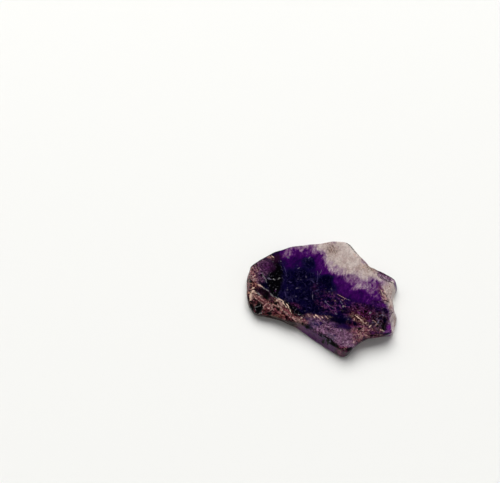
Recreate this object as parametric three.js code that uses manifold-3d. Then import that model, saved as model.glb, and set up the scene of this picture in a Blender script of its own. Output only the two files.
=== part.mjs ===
// A slab of banded amethyst, sawn flat on both faces and tumbled smooth round its edge.
// Millimetres, +Z up. The slab lies on the XY plane with its length along X, and the origin
// is the bottom centre of its bounding box.
import * as THREE from "three";
import { mergeVertices } from "three/addons/utils/BufferGeometryUtils.js";
import Module from "manifold-3d";

const wasm = await Module();
wasm.setup();

// Driving dimensions
const thickness = 6.5; // between the two sawn faces
const rimRound = 1.3; // height of the tumbled round at each rim
const rimInset = 1.25; // how far that round draws each face in from the slab's waist
const roundSteps = 4;
const wallSteps = 4;
const outlineSteps = 190;
const ballDetail = 14; // of the balls that cut the broken faces
const leanScale = 1000; // keeps the lean from counting as length where the outline is spaced out

// The waist outline, counter-clockwise from the left end, by stretch. Each point has its X and Y and
// the wall's lean there in degrees: positive where the foot stands out, negative where it is undercut
const leftEnd = [[-29.9, 9.4, 6], [-30.4, 4.6, 4], [-30.2, -0.6, 2], [-29.3, -4.4, 0], [-27.8, -6.6, -6]];
const brecciaEdge = [[-24.8, -8.4, -10], [-19.9, -10.2, -12], [-14.9, -11.5, -9], [-11.4, -12.4, -2]];
const frontEdge = [[-8.6, -14.2, 5], [-4.2, -17.3, 8], [0.3, -20.9, 8], [3.7, -23.4, 6]];
const frontTip = [[6.4, -24.9, 2], [8.3, -24.5, -8], [10.3, -22.5, -18]];
const frontNotch = [[12.4, -20.2, -24], [15.6, -18.4, -26], [19.2, -18.4, -24], [23.6, -17.0, -18]];
const rightCorner = [[26.3, -16.0, -4], [27.2, -13.4, 12], [28.2, -8.6, 18]];
const rightHollow = [[28.1, -5.2, 16], [27.7, -2.0, 18], [28.5, 1.0, 20]];
const rightPoint = [[29.9, 3.6, 18], [30.1, 5.9, 12], [28.2, 8.5, 4]];
const backNotch = [[25.4, 10.5, 2], [22.0, 11.4, 0], [19.6, 12.1, -4], [18.4, 14.1, -6], [16.6, 16.9, -4]];
const quartzShoulder = [[14.0, 21.4, 2], [12.2, 23.7, 7], [10.1, 24.8, 9], [6.8, 25.0, 4]];
const backEdge = [[3.1, 24.5, 0], [-0.4, 23.4, -6], [-6.8, 22.4, -9], [-12.4, 22.0, -3]];
const backSlope = [[-16.7, 20.4, 3], [-20.2, 19.0, 4], [-26.3, 15.1, 4], [-29.1, 12.7, 5]];

// Slow swells that tumbling left in the wall: how far, how long in plan, and how long in height
const swells = [
  { reach: 0.12, length: 13, height: 16, turn: 0.3 },
  { reach: 0.08, length: 7.4, height: 9, turn: 1.9 },
];

// The bevel over the brecciated corner: the line of the top face that it starts on, and how steeply it
// falls from there to the front left, in degrees
const brecciaBevel = { from: [-30.6, 8.3], to: [-4.6, -16.2], fall: 14.5 };

// Shallow conchoidal faces where the wall and the rims broke before the slab was tumbled. Each is cut by
// a ball: the middle of the face on the slab, how deep it bites, the ball's radius, and the way the face
// looks, in degrees round from +X and up from level
const brokenFaces = [
  { name: "back right chip", at: [25.6, 8.2, 5.9], bite: 0.8, radius: 13, facing: 58, rise: 62 },
  { name: "right crystal face", at: [27.2, -12.2, 5.0], bite: 0.9, radius: 9, facing: -10, rise: 38 },
  { name: "quartz shoulder", at: [15.2, 19.0, 5.9], bite: 0.35, radius: 26, facing: 35, rise: 44 },
  { name: "quartz brow", at: [8.2, 24.4, 2.4], bite: 0.45, radius: 17, facing: 82, rise: -12 },
  { name: "left end", at: [-30.1, 3.0, 4.6], bite: 0.4, radius: 22, facing: 176, rise: 30 },
  { name: "left foot", at: [-28.9, -5.0, 1.4], bite: 0.45, radius: 9, facing: 205, rise: -38 },
  { name: "breccia wall", at: [-19.0, -9.2, 2.0], bite: 0.4, radius: 20, facing: -108, rise: -14 },
  { name: "front wall", at: [-3.2, -18.4, 2.6], bite: 0.4, radius: 40, facing: -127, rise: 8 },
  { name: "notch wall", at: [15.0, -18.6, 2.2], bite: 0.3, radius: 14, facing: -62, rise: -24 },
  { name: "right foot", at: [28.2, -2.6, 1.0], bite: 0.55, radius: 10, facing: 2, rise: -32 },
  { name: "back wall", at: [-4.0, 22.8, 2.2], bite: 0.45, radius: 24, facing: 92, rise: -16 },
  { name: "back slope", at: [-22.4, 17.2, 2.2], bite: 0.3, radius: 26, facing: 118, rise: -2 },
  { name: "back slope foot", at: [-15.4, 20.9, 0.9], bite: 0.5, radius: 11, facing: 124, rise: -40 },
];

// A closed surface from any geometry, with its shared corners merged
function surface(geometry) {
  const bare = geometry.index ? geometry.toNonIndexed() : geometry.clone();
  bare.deleteAttribute("normal");
  bare.deleteAttribute("uv");
  return mergeVertices(bare, 1e-4);
}

function toSolid(geometry) {
  const closed = surface(geometry);
  return new wasm.Manifold(
    new wasm.Mesh({
      numProp: 3,
      vertProperties: closed.attributes.position.array,
      triVerts: new Uint32Array(closed.index.array),
    }),
  );
}

function toGeometry(solid) {
  const { numProp, vertProperties, triVerts } = solid.getMesh();
  const geometry = new THREE.BufferGeometry();
  const corners = new THREE.InterleavedBuffer(vertProperties, numProp);
  geometry.setAttribute("position", new THREE.InterleavedBufferAttribute(corners, 3, 0));
  geometry.setIndex(new THREE.BufferAttribute(triVerts, 1));
  const plain = geometry.toNonIndexed();
  plain.computeVertexNormals();
  return plain;
}

// Points along the waist with the wall's outward direction and lean at each
function waist() {
  const stretches = [
    leftEnd, brecciaEdge, frontEdge, frontTip, frontNotch, rightCorner,
    rightHollow, rightPoint, backNotch, quartzShoulder, backEdge, backSlope,
  ];
  const corners = stretches.flat().map(([x, y, lean]) => new THREE.Vector3(x, y, lean / leanScale));
  const loop = new THREE.CatmullRomCurve3(corners, true, "centripetal");
  const points = loop.getSpacedPoints(outlineSteps).slice(0, -1);
  return points.map((p, i) => {
    const before = points.at(i - 1);
    const after = points[(i + 1) % points.length];
    const out = new THREE.Vector2(after.y - before.y, before.x - after.x).normalize();
    return { at: new THREE.Vector2(p.x, p.y), out, lean: THREE.MathUtils.degToRad(p.z * leanScale) };
  });
}

function nearest(points, x, y) {
  const here = new THREE.Vector2(x, y);
  return points.reduce((best, p) =>
    p.at.distanceToSquared(here) < best.at.distanceToSquared(here) ? p : best);
}

// Leans and swells the wall in plan, and leaves the heights alone
function dressWall(geometry, points) {
  const place = geometry.attributes.position;
  const wave = (along, z) =>
    swells.reduce((sum, { reach, length, height, turn }) =>
      sum + reach * Math.sin((2 * Math.PI * along) / length + (2 * Math.PI * z) / height + turn), 0);
  for (let i = 0; i < place.count; i++) {
    const [x, y, z] = [place.getX(i), place.getY(i), place.getZ(i)];
    const { out, lean } = nearest(points, x, y);
    const shift = (thickness / 2 - z) * Math.tan(lean);
    place.setXY(i, x + out.x * shift + wave(y, z), y + out.y * shift + wave(x, -z));
  }
}

function blank() {
  const points = waist();
  const wallHeight = thickness - 2 * rimRound;
  const geometry = new THREE.ExtrudeGeometry(new THREE.Shape(points.map((p) => p.at)), {
    depth: wallHeight,
    steps: wallSteps,
    bevelThickness: rimRound,
    bevelSize: rimInset,
    bevelOffset: -rimInset,
    bevelSegments: roundSteps,
  });
  geometry.translate(0, 0, rimRound);
  dressWall(geometry, points);
  return toSolid(geometry);
}

// A block whose underside is the bevel's plane
function bevelCutter({ from, to, fall }) {
  const start = new THREE.Vector3(...from, thickness);
  const end = new THREE.Vector3(...to, thickness);
  const span = end.clone().sub(start);
  const block = new THREE.BoxGeometry(2 * span.length(), 40, 20);
  block.translate(0, -20, 10); // its back lower edge lies on the line
  block.rotateX(THREE.MathUtils.degToRad(fall));
  block.rotateZ(Math.atan2(span.y, span.x));
  block.translate(...start.lerp(end, 0.5));
  return toSolid(block);
}

function faceCutter({ at, bite, radius, facing, rise }) {
  const [turn, lift] = [facing, rise].map(THREE.MathUtils.degToRad);
  const out = new THREE.Vector3(
    Math.cos(turn) * Math.cos(lift), Math.sin(turn) * Math.cos(lift), Math.sin(lift),
  );
  const ball = new THREE.IcosahedronGeometry(radius, ballDetail);
  ball.translate(...new THREE.Vector3(...at).addScaledVector(out, radius - bite));
  return toSolid(ball);
}

function slabGeometry() {
  let stone = blank().subtract(bevelCutter(brecciaBevel));
  for (const face of brokenFaces) stone = stone.subtract(faceCutter(face));
  const geometry = toGeometry(stone);
  geometry.computeBoundingBox();
  const { min, max } = geometry.boundingBox;
  geometry.translate(-(min.x + max.x) / 2, -(min.y + max.y) / 2, -min.z);
  return geometry;
}

const amethyst = new THREE.MeshStandardMaterial({ color: 0x3c2258, roughness: 0.18, metalness: 0 });
const slab = new THREE.Mesh(slabGeometry(), amethyst);
slab.name = "amethyst_slab";

const part = new THREE.Group();
part.add(slab);

export default part;
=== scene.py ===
# Polished amethyst slab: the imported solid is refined, given its broken wall and polish, and lit on a
# white table.
import math

import bpy
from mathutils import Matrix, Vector


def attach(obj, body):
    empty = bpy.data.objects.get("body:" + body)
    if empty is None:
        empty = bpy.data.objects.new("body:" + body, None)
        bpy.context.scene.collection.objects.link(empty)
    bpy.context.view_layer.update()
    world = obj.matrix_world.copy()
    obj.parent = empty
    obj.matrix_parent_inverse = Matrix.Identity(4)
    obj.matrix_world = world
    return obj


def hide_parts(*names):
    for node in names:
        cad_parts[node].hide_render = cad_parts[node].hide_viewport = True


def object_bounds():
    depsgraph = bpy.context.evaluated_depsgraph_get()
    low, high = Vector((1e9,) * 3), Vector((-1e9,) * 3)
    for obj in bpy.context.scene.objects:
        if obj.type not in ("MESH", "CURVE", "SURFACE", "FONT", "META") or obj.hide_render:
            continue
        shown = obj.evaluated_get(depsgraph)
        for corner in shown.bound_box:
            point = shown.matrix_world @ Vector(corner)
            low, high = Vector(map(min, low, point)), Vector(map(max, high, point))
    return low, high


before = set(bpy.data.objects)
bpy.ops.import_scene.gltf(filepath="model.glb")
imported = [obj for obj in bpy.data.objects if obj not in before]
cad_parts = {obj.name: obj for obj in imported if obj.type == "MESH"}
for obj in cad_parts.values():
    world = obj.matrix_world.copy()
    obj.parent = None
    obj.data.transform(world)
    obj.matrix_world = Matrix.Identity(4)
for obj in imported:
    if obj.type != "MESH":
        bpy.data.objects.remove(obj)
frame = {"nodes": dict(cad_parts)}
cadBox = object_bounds()
mm = 0.001
print("frame loaded:", ", ".join(frame["nodes"]))

# Node helpers, shared by the surroundings, the stone's relief and its material

noiseSwing = 0.25  # about how far a noise strays from its middle, 0.5
farOff = 10.0  # where a search for the nearest of many places starts


def addNode(tree, kind, inputs=None, out=0, **settings):
    made = tree.nodes.new(kind)
    for name, value in settings.items():
        setattr(made, name, value)
    for key, value in (inputs or {}).items():
        give(tree, made.inputs[key], value)
    return None if out is None else made.outputs[out]


def give(tree, socket, value):
    if isinstance(value, bpy.types.NodeSocket):
        tree.links.new(value, socket)
    else:
        socket.default_value = value


def calc(tree, operation, a, b=0.0, c=0.0, clamp=False):
    return addNode(tree, "ShaderNodeMath", {0: a, 1: b, 2: c}, operation=operation, use_clamp=clamp)


def times(tree, first, *others):
    for other in others:
        first = calc(tree, "MULTIPLY", first, other)
    return first


def fromMiddle(tree, noise):
    return calc(tree, "SUBTRACT", noise, 0.5)


def vectorCalc(tree, operation, a, b=(0, 0, 0)):
    out = "Value" if operation == "DOT_PRODUCT" else 0
    return addNode(tree, "ShaderNodeVectorMath", {0: a, 1: b}, out=out, operation=operation)


# The sum of a product and a third vector
def vectorBlend(tree, a, b, c):
    return addNode(tree, "ShaderNodeVectorMath", {0: a, 1: b, 2: c}, operation="MULTIPLY_ADD")


def scaled(tree, vector, factor):
    return addNode(tree, "ShaderNodeVectorMath", {0: vector, "Scale": factor}, operation="SCALE")


# 0 up to low, 1 from high on, eased between
def ramp(tree, value, low, high):
    return addNode(
        tree,
        "ShaderNodeMapRange",
        {"Value": value, "From Min": low, "From Max": high},
        interpolation_type="SMOOTHSTEP",
    )


# Noise from 0 to 1 whose blots are about size across
def cloud(tree, point, size, detail=3.0, roughness=0.55, drift=0.0, out="Fac"):
    return addNode(
        tree,
        "ShaderNodeTexNoise",
        {"Vector": point, "W": drift, "Scale": 1 / size, "Detail": detail, "Roughness": roughness},
        out=out,
        noise_dimensions="4D",
    )


# The point moved about by a noise, so that what is drawn with it has ragged borders
def ragged(tree, point, size, reach, drift, detail=3.0):
    noise = cloud(tree, point, size, detail=detail, drift=drift, out="Color")
    cast = vectorCalc(tree, "SUBTRACT", noise, (0.5, 0.5, 0.5))
    return vectorCalc(tree, "ADD", point, scaled(tree, cast, reach / noiseSwing))


# The point's place in plan, in mm, with 1 for its height, so that one dot product gives a distance
# from a line
def inPlan(tree, point, perUnit=1.0):
    return vectorBlend(tree, point, (perUnit, perUnit, 0), (0, 0, 1))


# How far out a place is in an ellipse that runs right through the slab: 0 at its middle, 1 at its border
def outness(tree, plan, x, y, length, width, turn):
    cos, sin = math.cos(math.radians(turn)), math.sin(math.radians(turn))
    squares = []
    for (east, north), long in (((cos, sin), length), ((-sin, cos), width)):
        line = (east / long, north / long, -(x * east + y * north) / long)
        squares.append(vectorCalc(tree, "DOT_PRODUCT", plan, line))
    along, across = squares
    squared = calc(tree, "MULTIPLY_ADD", along, along, times(tree, across, across))
    return calc(tree, "SQRT", squared)


# How level the surface is, from 0 on a plumb wall to 1 on a sawn face
def levelness(tree, normal):
    upright = addNode(tree, "ShaderNodeSeparateXYZ", {0: normal}, out="Z")
    return calc(tree, "ABSOLUTE", upright)


# View and light

camera = {
    "place": (-29.23 * mm, -130.85 * mm, 249.83 * mm),
    "tilt": 32.5,  # degrees up from looking straight down
    "lens": 50,
    "sensor": 36,
}
studio = {
    "distance": 3.0,
    "lamps": {
        "sky": {"turn": 92, "rise": 61, "size": 2.9, "power": 114, "tint": (1.0, 0.998, 0.985)},
        "key": {"turn": 148, "rise": 40, "size": 2.2, "power": 12, "tint": (1.0, 0.995, 0.98)},
        "fill": {"turn": -30, "rise": 40, "size": 2.2, "power": 6.5, "tint": (0.99, 0.99, 1.0)},
        "front": {"turn": -118, "rise": 48, "size": 2.2, "power": 7, "tint": (1.0, 1.0, 1.0)},
    },
    "polarised": ["sky"],  # lamps behind a sheet that keeps the polished face from mirroring them
    "overhead": 0.02,  # how bright the surroundings are straight up, and how much more at the horizon
    "horizon": 0.36,
    "falloff": 2.0,
    "backdrop": 0.96,
}
table = {"reach": 1.5, "tone": (0.86, 0.86, 0.845), "roughness": 0.7}


def makeCamera():
    seen = bpy.data.cameras.new("viewpoint")
    seen.lens = camera["lens"]
    seen.sensor_width = camera["sensor"]
    holder = bpy.data.objects.new("viewpoint", seen)
    holder.location = camera["place"]
    holder.rotation_euler = (math.radians(camera["tilt"]), 0, 0)
    bpy.context.scene.collection.objects.link(holder)
    bpy.context.scene.camera = holder


def makeLamp(name, facts):
    lamp = bpy.data.lights.new(name, "AREA")
    lamp.shape = "SQUARE"
    lamp.size = facts["size"]
    lamp.energy = facts["power"]
    lamp.color = facts["tint"]
    holder = bpy.data.objects.new(name, lamp)
    turn, rise = math.radians(facts["turn"]), math.radians(facts["rise"])
    direction = Vector((math.cos(turn) * math.cos(rise), math.sin(turn) * math.cos(rise), math.sin(rise)))
    holder.location = direction * studio["distance"]
    holder.rotation_euler = direction.to_track_quat("Z", "Y").to_euler()
    holder.visible_glossy = name not in studio["polarised"]
    bpy.context.scene.collection.objects.link(holder)


# Dim overhead and brighter towards the horizon, and pale wherever the viewer sees past the table
def makeSurroundings():
    world = bpy.data.worlds.new("studio")
    world.use_nodes = True
    tree = world.node_tree
    tree.nodes.clear()
    direction = addNode(tree, "ShaderNodeTexCoord", out="Generated")
    height = addNode(tree, "ShaderNodeSeparateXYZ", {0: direction}, out="Z")
    low = calc(tree, "POWER", calc(tree, "SUBTRACT", 1.0, height, clamp=True), studio["falloff"])
    glow = calc(tree, "MULTIPLY_ADD", low, studio["horizon"], studio["overhead"])
    white = (1, 1, 1, 1)
    lit = addNode(tree, "ShaderNodeBackground", {"Color": white, "Strength": glow})
    seen = addNode(tree, "ShaderNodeBackground", {"Color": white, "Strength": studio["backdrop"]})
    viewer = addNode(tree, "ShaderNodeLightPath", out="Is Camera Ray")
    pick = addNode(tree, "ShaderNodeMixShader", {0: viewer, 1: lit, 2: seen})
    addNode(tree, "ShaderNodeOutputWorld", {"Surface": pick}, out=None)
    bpy.context.scene.world = world


def makeTable():
    reach = table["reach"]
    corners = [(-reach, -reach, 0), (reach, -reach, 0), (reach, reach, 0), (-reach, reach, 0)]
    mesh = bpy.data.meshes.new("table_top")
    mesh.from_pydata(corners, [], [(0, 1, 2, 3)])
    top = bpy.data.objects.new("table_top", mesh)
    bpy.context.scene.collection.objects.link(top)
    paper = bpy.data.materials.new("white_paper")
    paper.use_nodes = True
    surface = paper.node_tree.nodes["Principled BSDF"]
    surface.inputs["Base Color"].default_value = (*table["tone"], 1)
    surface.inputs["Roughness"].default_value = table["roughness"]
    surface.inputs["Specular IOR Level"].default_value = 0.0
    mesh.materials.append(paper)


makeCamera()
for lampName, lampFacts in studio["lamps"].items():
    makeLamp(lampName, lampFacts)
makeSurroundings()
makeTable()
bpy.context.scene.view_settings.view_transform = "Standard"
print("camera, light and table made")

# The stone's shape

stone = {
    "voxel": 0.31 * mm,
    "mergeWithin": 0.002 * mm,
    "softening": 0.5,
    "softeningTurns": 4,
    "thickness": cadBox[1].z - cadBox[0].z,
    "faceBand": 0.08 * mm,  # a point this near to a sawn face is put on it
}
relief = {
    "Scallop size": 4.2 * mm,
    "Scallop depth": 0.24 * mm,
    "Ripple size": 1.1 * mm,
    "Ripple depth": 0.10 * mm,
    "Wall swell": 0.20 * mm,
    "Cavity size": 1.5 * mm,
    "Cavity depth": 0.22 * mm,
    "Pocket depth": 0.42 * mm,
    "Seed": 4.0,
}
# Where each kind of relief is absent, and where it is full
onset = {
    "wall": (0.88, 0.45),  # levelness
    "dish": (0.75, 0.1),  # distance from a scallop's middle, in scallops
    "pocket": (1.25, 0.75),  # outness
    "breccia": (0.6 * mm, 2.4 * mm),  # distance past the bevel's line
    "cavity": (0.58, 0.68),  # noise
    "upper": (1.6 * mm, 3.2 * mm),  # height
}
hollows = {
    "bend": {"size": 2.2 * mm, "reach": 0.25 * mm, "drift": 71.0},
    "cavityDrift": 7.0,
    "cavityDetail": 2.5,
    "cavityShade": 0.6,  # how dark a cavity is beside a pocket
}
breccia = {  # the line that the bevel starts on, in mm, and where its broken stone gives out
    "through": (-25.2, 3.3),
    "normal": (-0.680, -0.733),
    "width": 0.7,
    "ends": (-9.8, -12.4),
    "endNormal": (-0.9, 0.44),
    "endWidth": 1.6,
}
# Pockets where softer stone broke out: middle in mm, reach along and across, turn in degrees
pockets = [
    (-25.7, -5.7, 1.6, 2.1, -12), (-28.5, -5.0, 0.6, 1.6, 20), (-21.7, -8.2, 1.2, 0.6, -10),
    (-18.3, -6.8, 1.1, 0.4, -35), (-22.9, -1.8, 1.1, 0.5, -45), (-19.2, -4.5, 0.8, 0.4, -34),
    (-8.9, -13.2, 0.6, 0.4, -30), (-7.0, -14.4, 0.8, 0.4, -30), (-0.9, -19.5, 0.7, 0.4, -38),
    (0.9, -20.7, 0.9, 0.4, -38), (2.9, -22.0, 0.8, 0.4, -38), (13.2, -15.6, 0.8, 0.4, 30),
    (22.2, -15.0, 0.4, 1.2, -8), (20.3, -14.1, 0.5, 0.8, -30),
]


def applyModifier(piece, kind, **settings):
    modifier = piece.modifiers.new(kind.lower(), kind)
    for name, value in settings.items():
        setattr(modifier, name, value)
    bakeModifiers(piece)


def bakeModifiers(piece):
    evaluated = piece.evaluated_get(bpy.context.evaluated_depsgraph_get())
    plain = bpy.data.meshes.new_from_object(evaluated)
    piece.modifiers.clear()
    piece.data = plain


# Puts every point that is nearly on a sawn face exactly on it
def flattenFaces(piece, band):
    top = stone["thickness"]
    for vertex in piece.data.vertices:
        if vertex.co.z > top - band:
            vertex.co.z = top
        elif vertex.co.z < band:
            vertex.co.z = 0.0


def refineStone():
    source = frame["nodes"]["amethyst_slab"]
    piece = bpy.data.objects.new("polished_slab", source.data.copy())
    piece.data.materials.clear()
    bpy.context.scene.collection.objects.link(piece)
    applyModifier(piece, "WELD", merge_threshold=stone["mergeWithin"])
    applyModifier(piece, "REMESH", mode="VOXEL", voxel_size=stone["voxel"])
    flattenFaces(piece, stone["voxel"] / 2)
    applyModifier(piece, "SMOOTH", factor=stone["softening"], iterations=stone["softeningTurns"])
    flattenFaces(piece, stone["faceBand"])
    return piece


# Geometry nodes: scallops and ripples on the broken wall, and hollows in the brecciated corner
def makeReliefTree():
    tree = bpy.data.node_groups.new("stone_relief", "GeometryNodeTree")
    face = tree.interface
    face.new_socket("Geometry", in_out="INPUT", socket_type="NodeSocketGeometry")
    for name in relief:
        face.new_socket(name, in_out="INPUT", socket_type="NodeSocketFloat")
    face.new_socket("Material", in_out="INPUT", socket_type="NodeSocketMaterial")
    face.new_socket("Geometry", in_out="OUTPUT", socket_type="NodeSocketGeometry")
    given = tree.nodes.new("NodeGroupInput").outputs
    place = addNode(tree, "GeometryNodeInputPosition")
    normal = addNode(tree, "GeometryNodeInputNormal")
    height = addNode(tree, "ShaderNodeSeparateXYZ", {0: place}, out="Z")
    wall = ramp(tree, levelness(tree, normal), *onset["wall"])

    def perMetre(name):
        return calc(tree, "DIVIDE", 1.0, given[name])

    scallop = addNode(
        tree,
        "ShaderNodeTexVoronoi",
        {"Vector": place, "W": given["Seed"], "Scale": perMetre("Scallop size")},
        voronoi_dimensions="4D",
        feature="SMOOTH_F1",
    )
    dish = times(tree, ramp(tree, scallop, *onset["dish"]), given["Scallop depth"])
    ripples = addNode(
        tree,
        "ShaderNodeTexNoise",
        {"Vector": place, "W": given["Seed"], "Scale": perMetre("Ripple size")},
        noise_dimensions="4D",
    )
    ripple = times(tree, ripples, given["Ripple depth"])
    eaten = calc(tree, "SUBTRACT", calc(tree, "ADD", dish, ripple), given["Wall swell"])
    wallDrop = times(tree, eaten, wall)

    bent = ragged(tree, place, **hollows["bend"])
    plan = inPlan(tree, bent, 1 / mm)
    nearest = farOff
    for ellipse in pockets:
        nearest = calc(tree, "MINIMUM", outness(tree, plan, *ellipse), nearest)
    pocket = ramp(tree, nearest, *onset["pocket"])
    shift = vectorCalc(tree, "SUBTRACT", place, tuple(v * mm for v in (*breccia["through"], 0)))
    past = vectorCalc(tree, "DOT_PRODUCT", shift, (*breccia["normal"], 0))
    crumbled = addNode(
        tree,
        "ShaderNodeTexNoise",
        {
            "Vector": bent,
            "W": hollows["cavityDrift"],
            "Scale": perMetre("Cavity size"),
            "Detail": hollows["cavityDetail"],
        },
        noise_dimensions="4D",
    )
    inBreccia = ramp(tree, past, *onset["breccia"])
    cavity = times(tree, ramp(tree, crumbled, *onset["cavity"]), inBreccia)
    upper = ramp(tree, height, *onset["upper"])
    # The hollows' share, kept as "hollow" for the material, which darkens it as painted shade and roughens
    # it
    shade = times(tree, cavity, hollows["cavityShade"])
    hollow = times(tree, calc(tree, "MAXIMUM", shade, pocket), upper)
    cavityDrop = times(tree, cavity, given["Cavity depth"])
    pocketDrop = times(tree, pocket, given["Pocket depth"])
    hollowDrop = times(tree, calc(tree, "MAXIMUM", cavityDrop, pocketDrop), upper)

    inward = scaled(tree, normal, times(tree, calc(tree, "ADD", wallDrop, hollowDrop), -1.0))
    moved = addNode(tree, "GeometryNodeSetPosition", {"Geometry": given["Geometry"], "Offset": inward})
    stored = addNode(
        tree,
        "GeometryNodeStoreNamedAttribute",
        {"Geometry": moved, "Name": "hollow", "Value": hollow},
        data_type="FLOAT",
        domain="POINT",
    )
    real = addNode(tree, "GeometryNodeRealizeInstances", {"Geometry": stored})
    painted = addNode(tree, "GeometryNodeSetMaterial", {"Geometry": real, "Material": given["Material"]})
    out = tree.nodes.new("NodeGroupOutput")
    tree.links.new(painted, out.inputs["Geometry"])
    return tree


def roughenStone(piece, material):
    modifier = piece.modifiers.new("relief", "NODES")
    modifier.node_group = makeReliefTree()
    wanted = {**relief, "Material": material}
    for item in modifier.node_group.interface.items_tree:
        if item.item_type == "SOCKET" and item.in_out == "INPUT" and item.name in wanted:
            modifier[item.identifier] = wanted[item.name]
    bakeModifiers(piece)
    flattenFaces(piece, stone["faceBand"])
    for face in piece.data.polygons:
        face.use_smooth = True


# The stone's material. Tones are what a viewer sees on the slab, in screen values from 0 to 255.

tones = {
    "night": (1, 0, 22), "midnight": (5, 2, 34), "indigo": (13, 6, 46), "plum": (27, 3, 57),
    "violet": (50, 3, 74), "magenta": (66, 12, 90), "vivid": (98, 18, 106), "grape": (56, 20, 58),
    "orchid": (98, 54, 104), "lavender": (128, 96, 130), "mist": (158, 136, 150), "smoke": (188, 172, 166),
    "milk": (204, 191, 186), "snow": (226, 216, 211), "clay": (160, 136, 130), "umber": (112, 90, 78),
    "soot": (3, 2, 5), "ash": (34, 34, 36), "sugar": (108, 107, 107), "dust": (52, 44, 80),
    "haze": (92, 84, 102), "wine": (38, 10, 34), "maroon": (62, 12, 30), "rust": (50, 20, 17),
    "mauve": (74, 47, 69), "lilac": (126, 90, 118), "rose": (132, 74, 80), "heather": (98, 44, 94),
    "blush": (154, 120, 115), "peach": (172, 124, 108), "cream": (204, 174, 156), "gold": (124, 94, 88),
    "slate": (96, 16, 106), "ruby": (124, 8, 88), "char": (52, 8, 6),
}
finish = {
    "lightGain": 1.12,  # how much brighter than its own tone the table's light shows a level surface
    "brightest": 0.9,
    "ior": 1.54,
    "specular": 0.14,
    "crystalRoughness": 0.08,
    "crystalGrain": 0.2,
    "wallRoughness": 0.28,
    "hollowRoughness": 0.10,
    "smear": 0.08,  # how far the roughness varies
    "glitter": 5.0,  # how far the grain lightens and darkens the tone, and the least that it leaves
    "dimmest": 0.15,
    "scatterShare": 0.35,
    "scatter": 1.6 * mm,
    "scatterTint": (1.0, 0.85, 0.95),
    "bumpHeight": 0.03 * mm,
    "grainBump": 0.10,
    "wallBump": 0.55,
}


# A tone in linear light, by the screen's standard curve
def tone(name):
    def linear(level):
        share = level / 255
        return share / 12.92 if share <= 0.04045 else ((share + 0.055) / 1.055) ** 2.4

    return (*[min(linear(v) / finish["lightGain"], finish["brightest"]) for v in tones[name]], 1.0)


def mixed(tree, factor, under, over):
    made = tree.nodes.new("ShaderNodeMix")
    made.data_type = "RGBA"
    for key, value in ((0, factor), (6, under), (7, over)):
        give(tree, made.inputs[key], value)
    return made.outputs[2]


# A tone laid over a colour, as far as all the shares together let it
def laidOver(tree, colour, name, *shares):
    return mixed(tree, times(tree, *shares), colour, tone(name))


# A run of tones along a value
def graded(tree, value, steps):
    made = tree.nodes.new("ShaderNodeValToRGB")
    stops = made.color_ramp.elements
    while len(stops) < len(steps):
        stops.new(0.5)
    for stop, (place, name) in zip(stops, steps):
        stop.position = place
        stop.color = tone(name)
    tree.links.new(value, made.inputs[0])
    return made.outputs[0]


# 1 past the line through a point, on the side that its normal shows
def beyond(tree, point, through, normal, width):
    shift = vectorCalc(tree, "SUBTRACT", point, (*through, 0))
    return ramp(tree, vectorCalc(tree, "DOT_PRODUCT", shift, (*normal, 0)), -width / 2, width / 2)


# The point stretched along a direction, so that a noise on it draws fibres
def combed(tree, point, turn, stretch):
    return addNode(
        tree,
        "ShaderNodeMapping",
        {"Vector": point, "Rotation": (0, 0, math.radians(turn)), "Scale": (stretch, 1, 1)},
        vector_type="TEXTURE",
    )


strandLook = {
    "detail": 1.5,
    "core": 0.15,  # the share of the width that has the full tone
    "patch": 1.7,  # the size of the stretches that show, in strand sizes, and their noise
    "patchDetail": 2.0,
    "patchDrift": 0.37,
    "hidden": 0.62,  # what that noise has to pass for a strand to start to show and to show in full,
    "shown": 0.70,  # less what its share takes off
    "byShare": 0.3,
}


# Thin winding lines, where a noise crosses its middle, in the places where a second noise lets them show
def strands(tree, point, size, width, drift, share):
    look = strandLook
    field = cloud(tree, point, size, detail=look["detail"], drift=drift)
    off = calc(tree, "ABSOLUTE", fromMiddle(tree, field))
    line = ramp(tree, off, width, width * look["core"])
    patches = look["patch"] * size
    there = cloud(tree, point, patches, detail=look["patchDetail"], drift=drift + look["patchDrift"])
    ease = look["byShare"] * share
    return times(tree, line, ramp(tree, there, look["hidden"] - ease, look["shown"] - ease))


# The point measured in grains, and slid along so that no two patterns fall together
def inGrains(tree, point, size, drift):
    return vectorCalc(tree, "ADD", scaled(tree, point, 1 / size), (drift, 0.7 * drift, 0.3 * drift))


# Crystal grains packed together: how far a point is from the seam between two, and a number for each
def packed(tree, point, size, drift):
    laid = {"Vector": inGrains(tree, point, size, drift), "Scale": 1.0}
    seam = addNode(tree, "ShaderNodeTexVoronoi", laid, feature="DISTANCE_TO_EDGE")
    each = addNode(tree, "ShaderNodeTexVoronoi", laid, out="Color")
    return seam, addNode(tree, "ShaderNodeSeparateColor", {0: each})


speckLook = {"edge": 0.42, "core": 0.15, "full": 0.6}


# Scattered specks, in a share of the cells
def specks(tree, point, size, share, drift):
    laid = inGrains(tree, point, size, drift)
    cells = tree.nodes.new("ShaderNodeTexVoronoi")
    give(tree, cells.inputs["Vector"], laid)
    cells.inputs["Scale"].default_value = 1.0
    lucky = addNode(tree, "ShaderNodeSeparateColor", {0: cells.outputs["Color"]})
    dot = ramp(tree, cells.outputs["Distance"], speckLook["edge"], speckLook["core"])
    return times(tree, dot, ramp(tree, lucky, 1 - share, 1 - share * speckLook["full"]))


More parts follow.
